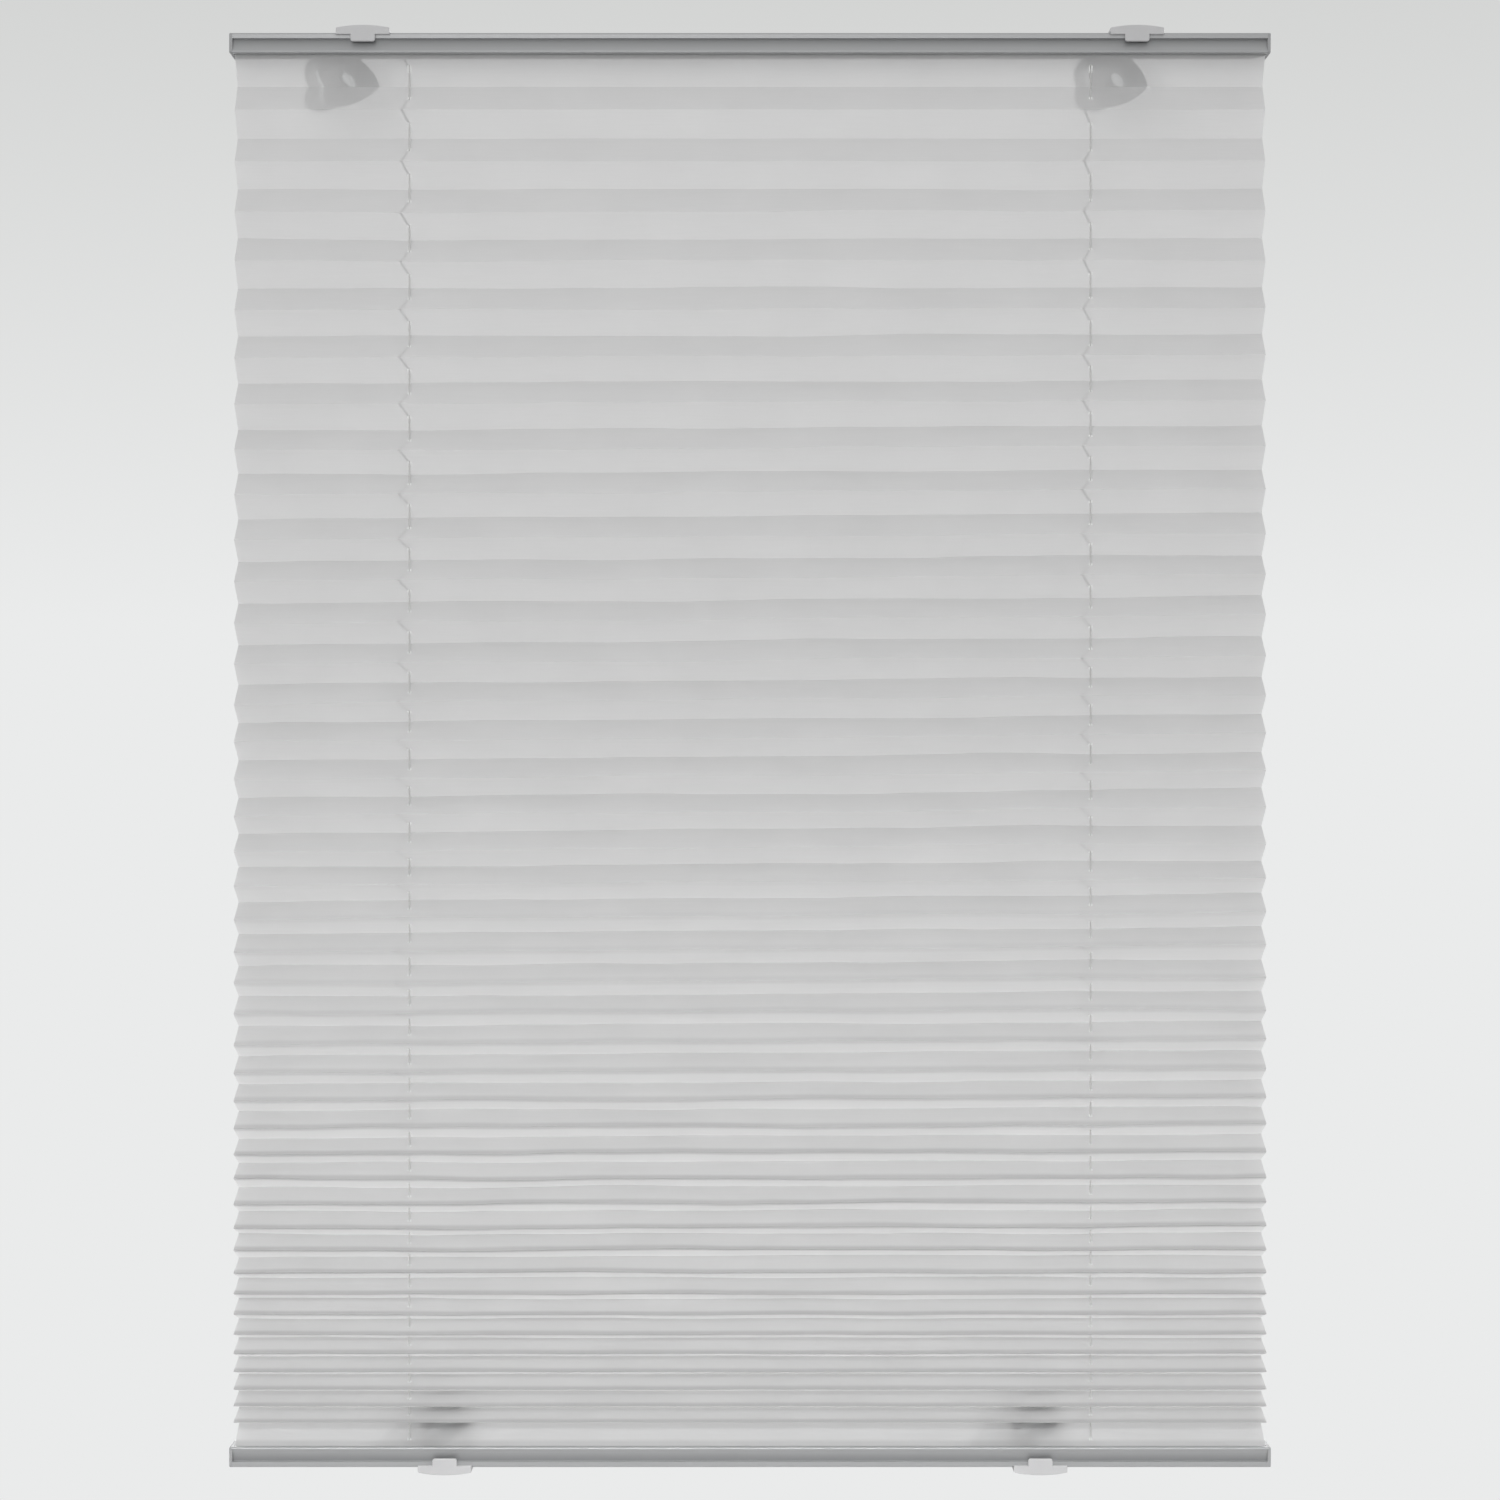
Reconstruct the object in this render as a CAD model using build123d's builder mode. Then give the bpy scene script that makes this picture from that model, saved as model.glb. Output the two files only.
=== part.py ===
import os
from math import hypot, sqrt

from build123d import *

os.makedirs("parts", exist_ok=True)

# Frame: X to the right, Y into the window, Z up, millimetres.
# The origin lies on the glass, at the middle of the blind.

# Overall sizes
blind_width = 700.0
blind_height = 964.0
mid_plane_to_glass = 26.0
mid_y = -mid_plane_to_glass
half_height = blind_height / 2

# Fabric strips, which lie in the rails
strip_width = 3.2
strip_height = 3.0
strip_top_clearance = 0.7
strip_slit_width = 0.7
strip_slit_depth = 2.5

# Rail section, with inward distances counted from the rail's outer face
rail_depth = 18.0
rail_height = 13.5
rail_wall = 1.1
rail_edge_radius = 1.2
lower_chamber_end = rail_height - rail_wall
lower_chamber_start = lower_chamber_end - strip_height - strip_top_clearance
cord_chamber_end = lower_chamber_start - rail_wall
cord_chamber_front = -5.2
chamber_back = rail_depth / 2 - rail_wall
rail_lip_height = 3.7
grip_depth = 2.4
grip_middle_depth = 1.7
grip_edge = 1.2
grip_end = rail_height - grip_edge
grip_overshoot = 1.0
strip_chamber_front = -6.3
strip_chamber_back = -2.4
back_chamber_front = strip_chamber_back + rail_wall
outer_slot_width = 7.0
fabric_slot_width = 1.8
fabric_slot_y = (strip_chamber_front + strip_chamber_back) / 2

# End caps
cap_thickness = 2.2
cap_edge_radius = 0.6
plug_length = 6.0
plug_clearance = 0.15
rail_length = blind_width - cap_thickness - cap_thickness

# Cord route
cord_radius = 0.6
cord_bend_radius = 2.4
cord_inset = 120.0
top_holder_inset = 90.0
bottom_holder_inset = 150.0
bottom_holder_shift = -5.0
cord_x = blind_width / 2 - cord_inset
top_holder_x = blind_width / 2 - top_holder_inset
bottom_holder_x = blind_width / 2 - bottom_holder_inset

# Cord guides, with the cord's run at mid height
guide_margin = 7.5
guide_play = 0.3
guide_front = cord_chamber_front + guide_play
guide_back = 5.9
guide_top = 1.4
cord_run_inward = (guide_top + cord_chamber_end) / 2
guide_neck_top = 0.3
guide_neck_clearance = 0.3
tunnel_radius = 1.0
spigot_radius = 2.0
spigot_clearance = 0.3
top_spigot_drop = 1.4
bottom_spigot_drop = 0.2
tunnel_overshoot = 1.0

# Pleated fabric
fabric_end_clearance = 0.8
fabric_width = rail_length - 2 * fabric_end_clearance
fabric_thickness = 0.3
panel_length = 20.0
mean_panel_height = 0.5525 * panel_length
first_panel_height = 19.5
last_panel_height = 11.5
closest_pitch_share = 0.30
pitch_exponent = 1.15
fabric_tail = 3.3
cord_hole_width = 2.4
cord_hole_depth = 2.0
strip_length = fabric_width

# Holders
holder_width = 36.0
holder_gap = 0.4
holder_end_height = 3.0
holder_middle_height = 4.8
holder_corner_radius = 1.0
rail_play = 0.3
lip_thickness = 1.6
skirt_reach = 1.5
tongue_width = 16.5
tongue_reach = 6.2
tongue_corner_radius = 1.6
lip_edge_radius = 0.5
web_front = 13.2
web_thickness = 2.4
web_back = web_front + web_thickness
web_neck_width = 27.0
disc_radius = 18.0
disc_inward = 26.0
cup_hole_radius = 5.2
rib_width = 2.4
rib_spacing = 18.0
rib_start = 1.0
rib_end = 12.0
cord_hole_radius = 1.0
bead_pocket_radius = 2.8
bead_seat = 2.2

# Cord beads
bead_radius = 2.3
bead_height = 2.0
bead_bore_radius = 0.75
bead_edge_radius = 0.5
cord_end_rise = 0.4

# Suction cups
cup_head_radius = 6.4
cup_head_thickness = 2.6
cup_head_edge_radius = 0.7
cup_neck_radius = 4.7
cup_shoulder_radius = 8.0
cup_rim_radius = 18.5
cup_rim_thickness = 1.1
cup_rim_land = 1.3
cup_outer_bulge_radius = 12.4
cup_outer_bulge_y = 20.6
cup_inner_bulge_radius = 10.6
cup_inner_bulge_y = 22.7
cup_hollow_y = 20.6
cup_hollow_flat_radius = 3.0


def side_name(side):
    return "left" if side < 0 else "right"


def end_name(up):
    return "top" if up > 0 else "bottom"


def holder_place(up, side):
    return side * top_holder_x if up > 0 else side * bottom_holder_x + bottom_holder_shift


def outer_z(up):
    return up * half_height


def inward_z(up, inward):
    return up * (half_height - inward)


def section_plane(up, x):
    return Plane(origin=(x, mid_y, outer_z(up)), x_dir=(0, 1, 0), z_dir=(1, 0, 0))


def front_plane(up, x, y):
    return Plane(origin=(x, mid_y + y, outer_z(up)), x_dir=(1, 0, 0), z_dir=(0, 1, 0))


def section_box(up, y_from, y_to, in_from, in_to, mode=Mode.ADD):
    with Locations(((y_from + y_to) / 2, -up * (in_from + in_to) / 2)):
        Rectangle(y_to - y_from, in_to - in_from, mode=mode)


def front_box(up, width, in_from, in_to, mode=Mode.ADD):
    with Locations((0, up * (in_from + in_to) / 2)):
        Rectangle(width, in_to - in_from, mode=mode)


# Aluminium rails, extruded along X
for up in (1, -1):
    with BuildPart() as rail:
        with BuildSketch(section_plane(up, -rail_length / 2)):
            with Locations((0, -up * rail_height / 2)):
                RectangleRounded(rail_depth, rail_height, rail_edge_radius)
            section_box(up, cord_chamber_front, chamber_back, rail_wall,
                        cord_chamber_end, Mode.SUBTRACT)
            section_box(up, -outer_slot_width / 2, outer_slot_width / 2, 0,
                        rail_wall, Mode.SUBTRACT)
            section_box(up, strip_chamber_front, strip_chamber_back,
                        lower_chamber_start, lower_chamber_end, Mode.SUBTRACT)
            section_box(up, back_chamber_front, chamber_back,
                        lower_chamber_start, lower_chamber_end, Mode.SUBTRACT)
            section_box(up, fabric_slot_y - fabric_slot_width / 2,
                        fabric_slot_y + fabric_slot_width / 2,
                        lower_chamber_end, rail_height, Mode.SUBTRACT)
            with BuildLine():
                Polyline((-rail_depth / 2, -up * grip_end),
                         (-rail_depth / 2 - grip_overshoot, -up * grip_end),
                         (-rail_depth / 2 - grip_overshoot, -up * rail_lip_height),
                         (grip_depth - rail_depth / 2, -up * rail_lip_height))
                ThreePointArc((grip_depth - rail_depth / 2, -up * rail_lip_height),
                              (grip_middle_depth - rail_depth / 2,
                               -up * (rail_lip_height + grip_end) / 2),
                              (-rail_depth / 2, -up * grip_end))
            make_face(mode=Mode.SUBTRACT)
        extrude(amount=rail_length)
        with BuildSketch(Plane((0, mid_y, inward_z(up, rail_height)))):
            with Locations((-cord_x, 0), (cord_x, 0)):
                Circle(spigot_radius + spigot_clearance)
        extrude(amount=up * (rail_height - cord_chamber_end + rail_wall),
                mode=Mode.SUBTRACT)
    rail.part.label = f"{end_name(up)}_rail"
    export_step(rail.part, f"parts/{rail.part.label}.step")

# Moulded end caps with two plugs in the rail's chambers
for up in (1, -1):
    for side in (-1, 1):
        with BuildPart() as cap:
            with BuildSketch(section_plane(up, side * rail_length / 2)):
                with Locations((0, -up * rail_height / 2)):
                    RectangleRounded(rail_depth, rail_height, rail_edge_radius)
            extrude(amount=side * cap_thickness)
            outer_face = cap.faces().sort_by(Axis.X)[-1 if side > 0 else 0]
            fillet(outer_face.edges(), cap_edge_radius)
            with BuildSketch(section_plane(up, side * rail_length / 2)):
                section_box(up, cord_chamber_front + plug_clearance,
                            chamber_back - plug_clearance,
                            rail_wall + plug_clearance,
                            cord_chamber_end - plug_clearance)
                section_box(up, back_chamber_front + plug_clearance,
                            chamber_back - plug_clearance,
                            lower_chamber_start + plug_clearance,
                            lower_chamber_end - plug_clearance)
            extrude(amount=-side * plug_length)
        cap.part.label = f"{end_name(up)}_end_cap_{side_name(side)}"
        export_step(cap.part, f"parts/{cap.part.label}.step")

# Plastic strips that hold the fabric's ends in the rails
for up in (1, -1):
    with BuildPart() as strip:
        with BuildSketch(section_plane(up, -strip_length / 2)):
            section_box(up, fabric_slot_y - strip_width / 2,
                        fabric_slot_y + strip_width / 2,
                        lower_chamber_end - strip_height, lower_chamber_end)
            section_box(up, fabric_slot_y - strip_slit_width / 2,
                        fabric_slot_y + strip_slit_width / 2,
                        lower_chamber_end - strip_slit_depth,
                        lower_chamber_end, Mode.SUBTRACT)
        extrude(amount=strip_length)
    strip.part.label = f"{end_name(up)}_fabric_strip"
    export_step(strip.part, f"parts/{strip.part.label}.step")

# Cord guides: a block in the rail's cord chamber with a bent tunnel and a spigot
for up in (1, -1):
    for side in (-1, 1):
        spigot_drop = top_spigot_drop if up > 0 else bottom_spigot_drop
        guide_x = (holder_place(up, side) + side * cord_x) / 2
        guide_length = abs(holder_place(up, side) - side * cord_x) + 2 * guide_margin
        with BuildPart() as guide:
            with BuildSketch(section_plane(up, guide_x - guide_length / 2)):
                section_box(up, guide_front, guide_back, guide_top, cord_chamber_end)
                section_box(up, guide_neck_clearance - outer_slot_width / 2,
                            outer_slot_width / 2 - guide_neck_clearance,
                            guide_neck_top, guide_top)
            extrude(amount=guide_length)
            with BuildSketch(Plane((side * cord_x, mid_y, inward_z(up, cord_chamber_end)))):
                Circle(spigot_radius)
            extrude(amount=up * (cord_chamber_end - rail_height - spigot_drop))
            tunnel_top = inward_z(up, -tunnel_overshoot)
            tunnel_bottom = inward_z(up, rail_height + spigot_drop + tunnel_overshoot)
            run_z = inward_z(up, cord_run_inward)
            with BuildLine() as tunnel:
                FilletPolyline((holder_place(up, side), mid_y, tunnel_top),
                               (holder_place(up, side), mid_y, run_z),
                               (side * cord_x, mid_y, run_z),
                               (side * cord_x, mid_y, tunnel_bottom),
                               radius=cord_bend_radius)
            with BuildSketch(Plane((holder_place(up, side), mid_y, tunnel_top))):
                Circle(tunnel_radius)
            sweep(path=tunnel.wire(), mode=Mode.SUBTRACT)
        guide.part.label = f"{end_name(up)}_cord_guide_{side_name(side)}"
        export_step(guide.part, f"parts/{guide.part.label}.step")

# Pleated fabric: one sheet folded to and fro, wider folds at the top than below
rail_inner = half_height - rail_height
first_fold_z = rail_inner - first_panel_height
last_fold_z = last_panel_height - rail_inner
panel_count = 2 * round((first_fold_z - last_fold_z) / (2 * mean_panel_height))
height_shares = [
    closest_pitch_share
    + (1 - closest_pitch_share) * (1 - panel / (panel_count - 1)) ** pitch_exponent
    for panel in range(panel_count)
]
panel_heights = [
    share * (first_fold_z - last_fold_z) / sum(height_shares) for share in height_shares
]
panel_depths = [sqrt(panel_length**2 - height**2) for height in panel_heights]

sheet_points = [(fabric_slot_y, rail_inner + fabric_tail), (fabric_slot_y, rail_inner)]
fold_z = first_fold_z
for fold in range(panel_count + 1):
    above = panel_depths[max(fold - 1, 0)]
    below = panel_depths[min(fold, panel_count - 1)]
    fold_sign = 1 if fold % 2 == 0 else -1
    sheet_points.append((fold_sign * (above + below) / 4, fold_z))
    if fold < panel_count:
        fold_z -= panel_heights[fold]
sheet_points += [(fabric_slot_y, -rail_inner), (fabric_slot_y, -rail_inner - fabric_tail)]


def sheet_normal(start, end):
    along_y = end[0] - start[0]
    along_z = end[1] - start[1]
    length = hypot(along_y, along_z)
    return -along_z / length, along_y / length


def sheet_side(points, distance):
    shifted = []
    for index, point in enumerate(points):
        before = sheet_normal(points[max(index - 1, 0)], points[max(index, 1)])
        last = len(points) - 1
        after = sheet_normal(points[min(index, last - 1)], points[min(index + 1, last)])
        mitre = distance / (1 + before[0] * after[0] + before[1] * after[1])
        shifted.append((point[0] + mitre * (before[0] + after[0]),
                        point[1] + mitre * (before[1] + after[1])))
    return shifted


with BuildPart() as fabric:
    sheet_plane = Plane(origin=(-fabric_width / 2, mid_y, 0), x_dir=(0, 1, 0), z_dir=(1, 0, 0))
    with BuildSketch(sheet_plane):
        with BuildLine():
            Polyline(*sheet_side(sheet_points, fabric_thickness / 2),
                     *reversed(sheet_side(sheet_points, -fabric_thickness / 2)), close=True)
        make_face()
    extrude(amount=fabric_width)
    with BuildSketch(Plane((0, mid_y, -rail_inner))):
        with Locations((-cord_x, 0), (cord_x, 0)):
            Rectangle(cord_hole_width, cord_hole_depth)
    extrude(amount=2 * rail_inner, mode=Mode.SUBTRACT)
fabric.part.label = "pleated_fabric"
export_step(fabric.part, "parts/pleated_fabric.step")

# Tension cords, whole, from the upper holder to the lower one on the same side
cord_end = half_height + bead_seat + bead_height + cord_end_rise
for side in (-1, 1):
    with BuildPart() as cord:
        with BuildLine() as route:
            FilletPolyline((holder_place(1, side), mid_y, cord_end),
                           (holder_place(1, side), mid_y, inward_z(1, cord_run_inward)),
                           (side * cord_x, mid_y, inward_z(1, cord_run_inward)),
                           (side * cord_x, mid_y, inward_z(-1, cord_run_inward)),
                           (holder_place(-1, side), mid_y, inward_z(-1, cord_run_inward)),
                           (holder_place(-1, side), mid_y, -cord_end),
                           radius=cord_bend_radius)
        with BuildSketch(Plane((holder_place(1, side), mid_y, cord_end))):
            Circle(cord_radius)
        sweep(path=route.wire())
    cord.part.label = f"cord_{side_name(side)}"
    export_step(cord.part, f"parts/{cord.part.label}.step")

# Moulded holders: a domed plate over the rail, a tongue in front and a web behind
for up in (1, -1):
    for side in (-1, 1):
        centre_x = holder_place(up, side)
        lip_front = -rail_depth / 2 - rail_play - lip_thickness
        with BuildPart() as holder:
            with BuildSketch(front_plane(up, centre_x, lip_front)) as dome:
                with BuildLine():
                    Polyline((-holder_width / 2, -up * holder_end_height),
                             (-holder_width / 2, -up * holder_gap),
                             (holder_width / 2, -up * holder_gap),
                             (holder_width / 2, -up * holder_end_height))
                    ThreePointArc((holder_width / 2, -up * holder_end_height),
                                  (0, -up * holder_middle_height),
                                  (-holder_width / 2, -up * holder_end_height))
                make_face()
                outer_corners = dome.vertices().group_by(Axis.Y)[0 if up > 0 else -1]
                fillet(outer_corners, holder_corner_radius)
            extrude(amount=web_back - lip_front)
            with BuildSketch(front_plane(up, centre_x, lip_front)) as tongue:
                front_box(up, tongue_width, -holder_gap, tongue_reach)
                tip_corners = tongue.vertices().group_by(Axis.Y)[-1 if up > 0 else 0]
                fillet(tip_corners, tongue_corner_radius)
                front_box(up, holder_width, -holder_gap, skirt_reach)
            extrude(amount=lip_thickness)
            with BuildSketch(front_plane(up, centre_x, web_front)):
                front_box(up, web_neck_width, -holder_gap, disc_inward)
                with Locations((0, up * disc_inward)):
                    Circle(disc_radius)
                    Circle(cup_hole_radius, mode=Mode.SUBTRACT)
            extrude(amount=web_thickness)
            with BuildSketch(front_plane(up, centre_x, rail_depth / 2 + rail_play)):
                with Locations((-rib_spacing / 2, up * (rib_start + rib_end) / 2),
                               (rib_spacing / 2, up * (rib_start + rib_end) / 2)):
                    Rectangle(rib_width, rib_end - rib_start)
            extrude(amount=web_front - rail_depth / 2 - rail_play)
            front_face = holder.faces().sort_by(Axis.Y)[0]
            fillet(front_face.edges(), lip_edge_radius)
            with BuildSketch(Plane((centre_x, mid_y, outer_z(up)))):
                Circle(cord_hole_radius)
            extrude(amount=up * holder_middle_height, mode=Mode.SUBTRACT)
            with BuildSketch(Plane((centre_x, mid_y, outer_z(up) + up * bead_seat))):
                Circle(bead_pocket_radius)
            extrude(amount=up * holder_middle_height, mode=Mode.SUBTRACT)
        holder.part.label = f"{end_name(up)}_holder_{side_name(side)}"
        export_step(holder.part, f"parts/{holder.part.label}.step")

# Cord beads, seated in the holders' pockets
for up in (1, -1):
    for side in (-1, 1):
        with BuildPart() as bead:
            bead_z = outer_z(up) + up * bead_seat
            with BuildSketch(Plane((holder_place(up, side), mid_y, bead_z))):
                Circle(bead_radius)
                Circle(bead_bore_radius, mode=Mode.SUBTRACT)
            extrude(amount=up * bead_height)
            outer_rim = bead.edges().filter_by(GeomType.CIRCLE).group_by(SortBy.RADIUS)[-1]
            fillet(outer_rim.group_by(Axis.Z)[-1 if up > 0 else 0], bead_edge_radius)
        bead.part.label = f"{end_name(up)}_cord_bead_{side_name(side)}"
        export_step(bead.part, f"parts/{bead.part.label}.step")

# Suction cups: knob, neck and bell turned about Y, with the rim on the glass
for up in (1, -1):
    for side in (-1, 1):
        cup_centre = (holder_place(up, side), mid_y, inward_z(up, disc_inward))
        with BuildPart() as cup:
            with BuildSketch(Plane(cup_centre)) as bell:
                with BuildLine():
                    Polyline((0, cup_hollow_y),
                             (0, web_front - cup_head_thickness),
                             (cup_head_radius, web_front - cup_head_thickness),
                             (cup_head_radius, web_front),
                             (cup_neck_radius, web_front),
                             (cup_neck_radius, web_back),
                             (cup_shoulder_radius, web_back))
                    ThreePointArc((cup_shoulder_radius, web_back),
                                  (cup_outer_bulge_radius, cup_outer_bulge_y),
                                  (cup_rim_radius, mid_plane_to_glass - cup_rim_thickness))
                    Polyline((cup_rim_radius, mid_plane_to_glass - cup_rim_thickness),
                             (cup_rim_radius, mid_plane_to_glass),
                             (cup_rim_radius - cup_rim_land, mid_plane_to_glass))
                    ThreePointArc((cup_rim_radius - cup_rim_land, mid_plane_to_glass),
                                  (cup_inner_bulge_radius, cup_inner_bulge_y),
                                  (cup_hollow_flat_radius, cup_hollow_y))
                    Line((cup_hollow_flat_radius, cup_hollow_y), (0, cup_hollow_y))
                make_face()
            revolve(axis=Axis(cup_centre, (0, 1, 0)))
            knob_rim = cup.edges().filter_by(GeomType.CIRCLE).sort_by(Axis.Y)[0]
            fillet(knob_rim, cup_head_edge_radius)
        cup.part.label = f"{end_name(up)}_suction_cup_{side_name(side)}"
        export_step(cup.part, f"parts/{cup.part.label}.step")
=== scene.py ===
import math

import bmesh
import bpy
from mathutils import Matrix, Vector


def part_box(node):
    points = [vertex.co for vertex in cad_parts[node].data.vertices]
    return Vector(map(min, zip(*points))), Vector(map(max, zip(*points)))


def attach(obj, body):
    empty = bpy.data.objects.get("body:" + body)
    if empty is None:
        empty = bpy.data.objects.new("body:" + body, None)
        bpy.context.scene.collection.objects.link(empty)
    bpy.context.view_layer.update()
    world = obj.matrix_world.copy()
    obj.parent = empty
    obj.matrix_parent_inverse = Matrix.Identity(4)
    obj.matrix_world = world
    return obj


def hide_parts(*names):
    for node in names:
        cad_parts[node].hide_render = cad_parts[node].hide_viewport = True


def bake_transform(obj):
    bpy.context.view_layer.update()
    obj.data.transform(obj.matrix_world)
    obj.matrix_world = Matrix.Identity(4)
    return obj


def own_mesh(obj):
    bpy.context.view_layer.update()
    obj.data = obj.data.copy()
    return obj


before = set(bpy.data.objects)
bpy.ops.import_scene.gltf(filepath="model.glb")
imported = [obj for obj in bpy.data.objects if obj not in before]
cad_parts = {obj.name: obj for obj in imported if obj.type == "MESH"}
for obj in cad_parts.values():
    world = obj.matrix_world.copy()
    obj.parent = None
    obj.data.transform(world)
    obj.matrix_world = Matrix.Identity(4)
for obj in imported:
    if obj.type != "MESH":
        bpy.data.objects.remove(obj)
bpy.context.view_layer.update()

scene = bpy.context.scene
midY = -0.026  # the cloth's middle plane, in front of the glass
panelLength = 0.020  # cloth between one fold and the next
cordPlace = 0.230  # each cord's distance from the blind's middle
waveUnit = math.pi / 10  # a wave texture's period at scale 1
print("frame loaded with", len(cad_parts), "nodes")


def addNode(tree, kind, links=None, **settings):
    node = tree.nodes.new(kind)
    for name, value in settings.items():
        setattr(node, name, value)
    for socket, value in (links or {}).items():
        if isinstance(value, bpy.types.NodeSocket):
            tree.links.new(value, node.inputs[socket])
        else:
            node.inputs[socket].default_value = value
    return node


def hexColour(text):
    channels = [int(text[start:start + 2], 16) / 255 for start in (1, 3, 5)]
    return [c / 12.92 if c <= 0.04045 else ((c + 0.055) / 1.055) ** 2.4 for c in channels] + [1.0]


def newMaterial(name):
    material = bpy.data.materials.new(name)
    material.use_nodes = True
    material.node_tree.nodes.clear()
    return material, material.node_tree


def finishMaterial(tree, shader):
    addNode(tree, "ShaderNodeOutputMaterial", {"Surface": shader.outputs[0]})


# Pleated polyester crepe: a matt, slightly see-through cloth with fine uneven threads
clothLook = {
    "thread": "#e6e6e6",
    "threadShade": "#dfdfdf",
    "throughLight": "#e9e9e9",
    "throughShare": 0.50,
    # painted shade at the front folds, standing in for the light lost inside the closing pleats
    "foldShade": "#d1d1d1",
    "foldShadeShare": (0.33, 0.10),  # of a panel, where the painted fold shade fades in and where it is full
    "foldShadeFrom": 0.70,  # metres down the flat cloth: painted shade at the front folds, darker on the lower folds, which are pressed closer
    "foldShadeFull": 1.10,
    "threadPitch": 0.0011,  # real threads are 0.3 mm apart, drawn coarser so that they show
    "slubLength": 0.03,
    "slubWidth": 0.0012,
    "slubShare": 0.6,
    "unevenFrom": 0.55,
    "unevenFull": 1.05,
    "cloudSize": 0.05,
}


def makePleatedPolyester():
    material, tree = newMaterial("pleatedPolyester")
    clothUv = addNode(tree, "ShaderNodeUVMap", uv_map="clothUv").outputs[0]
    warp = addNode(tree, "ShaderNodeTexWave", {
        "Vector": clothUv, "Scale": waveUnit / clothLook["threadPitch"], "Distortion": 0.6,
        "Detail": 1.0}, bands_direction="X")
    weft = addNode(tree, "ShaderNodeTexWave", {
        "Vector": clothUv, "Scale": waveUnit / clothLook["threadPitch"], "Distortion": 0.6,
        "Detail": 1.0}, bands_direction="Y")
    weave = addNode(tree, "ShaderNodeMath", {0: warp.outputs["Fac"], 1: weft.outputs["Fac"]},
                    operation="MULTIPLY")
    stretched = addNode(tree, "ShaderNodeMapping", {
        "Vector": clothUv,
        "Scale": (1 / clothLook["slubLength"], 1 / clothLook["slubWidth"], 1.0)})
    slub = addNode(tree, "ShaderNodeTexNoise", {
        "Vector": stretched.outputs[0], "Scale": 1.0, "Detail": 3.0, "Roughness": 0.55})
    cloud = addNode(tree, "ShaderNodeTexNoise", {
        "Vector": clothUv, "Scale": 1 / clothLook["cloudSize"], "Detail": 2.0})
    uneven = addNode(tree, "ShaderNodeMath", {
        0: slub.outputs["Fac"], 1: clothLook["slubShare"], 2: cloud.outputs["Fac"]},
        operation="MULTIPLY_ADD")
    shade = addNode(tree, "ShaderNodeMapRange", {
        "Value": uneven.outputs[0], "From Min": clothLook["unevenFrom"],
        "From Max": clothLook["unevenFull"]})
    colour = addNode(tree, "ShaderNodeMix", {
        0: shade.outputs[0], 6: hexColour(clothLook["threadShade"]),
        7: hexColour(clothLook["thread"])}, data_type="RGBA")
    # painted shade: the colour and the light through the cloth darken towards the front folds, more
    # so down the cloth
    along = addNode(tree, "ShaderNodeSeparateXYZ", {0: clothUv}).outputs["Y"]
    foldNumber = addNode(tree, "ShaderNodeMath", {0: along, 1: panelLength}, operation="DIVIDE")
    toFront = addNode(tree, "ShaderNodeMath", {
        0: foldNumber.outputs[0], 1: 1.0}, operation="PINGPONG")
    nearFold = addNode(tree, "ShaderNodeMapRange", {
        "Value": toFront.outputs[0], "From Min": 1 - clothLook["foldShadeShare"][0],
        "From Max": 1 - clothLook["foldShadeShare"][1]}, interpolation_type="SMOOTHSTEP")
    shadeDownCloth = addNode(tree, "ShaderNodeMapRange", {
        "Value": along, "From Min": clothLook["foldShadeFrom"], "From Max": clothLook["foldShadeFull"]})
    foldShade = addNode(tree, "ShaderNodeMath", {
        0: nearFold.outputs[0], 1: shadeDownCloth.outputs[0]}, operation="MULTIPLY")
    foldShaded = addNode(tree, "ShaderNodeMix", {
        0: foldShade.outputs[0], 6: colour.outputs[2], 7: hexColour(clothLook["foldShade"])},
        data_type="RGBA")
    throughColour = addNode(tree, "ShaderNodeMix", {
        0: foldShade.outputs[0], 6: hexColour(clothLook["throughLight"]),
        7: hexColour(clothLook["foldShade"])}, data_type="RGBA")
    relief = addNode(tree, "ShaderNodeMath", {
        0: weave.outputs[0], 1: 0.5, 2: slub.outputs["Fac"]}, operation="MULTIPLY_ADD")
    bump = addNode(tree, "ShaderNodeBump", {
        "Strength": 0.25, "Distance": 0.0001, "Height": relief.outputs[0]})
    face = addNode(tree, "ShaderNodeBsdfPrincipled", {
        "Base Color": foldShaded.outputs[2], "Roughness": 0.88, "Specular IOR Level": 0.2,
        "Sheen Weight": 0.08, "Sheen Roughness": 0.5, "Normal": bump.outputs[0]})
    through = addNode(tree, "ShaderNodeBsdfTranslucent", {
        "Color": throughColour.outputs[2], "Normal": bump.outputs[0]})
    both = addNode(tree, "ShaderNodeMixShader", {
        0: clothLook["throughShare"], 1: face.outputs[0], 2: through.outputs[0]})
    finishMaterial(tree, both)
    return material


# Grey coated aluminium extrusion: satin, with faint die lines along its length and painted shade in
# the grip's hollow
railLook = {
    "coat": "#aeafb0",
    "coatShade": "#a4a5a6",
    "metallic": 0.35,
    "roughness": (0.36, 0.48),
    "dieLinePitch": 0.0008,
    "dieLineLength": 0.25,
    "grainsPerMetre": 900.0,
    # painted shade under the outer lip, where the lip shades the hollow
    "hollowShade": "#949596",
    "hollowShadeFrom": 0.4705,  # painted shade in the grip's hollow beside the outer lip, from the blind's middle
    "hollowShadeTo": 0.4780,
}


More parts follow.
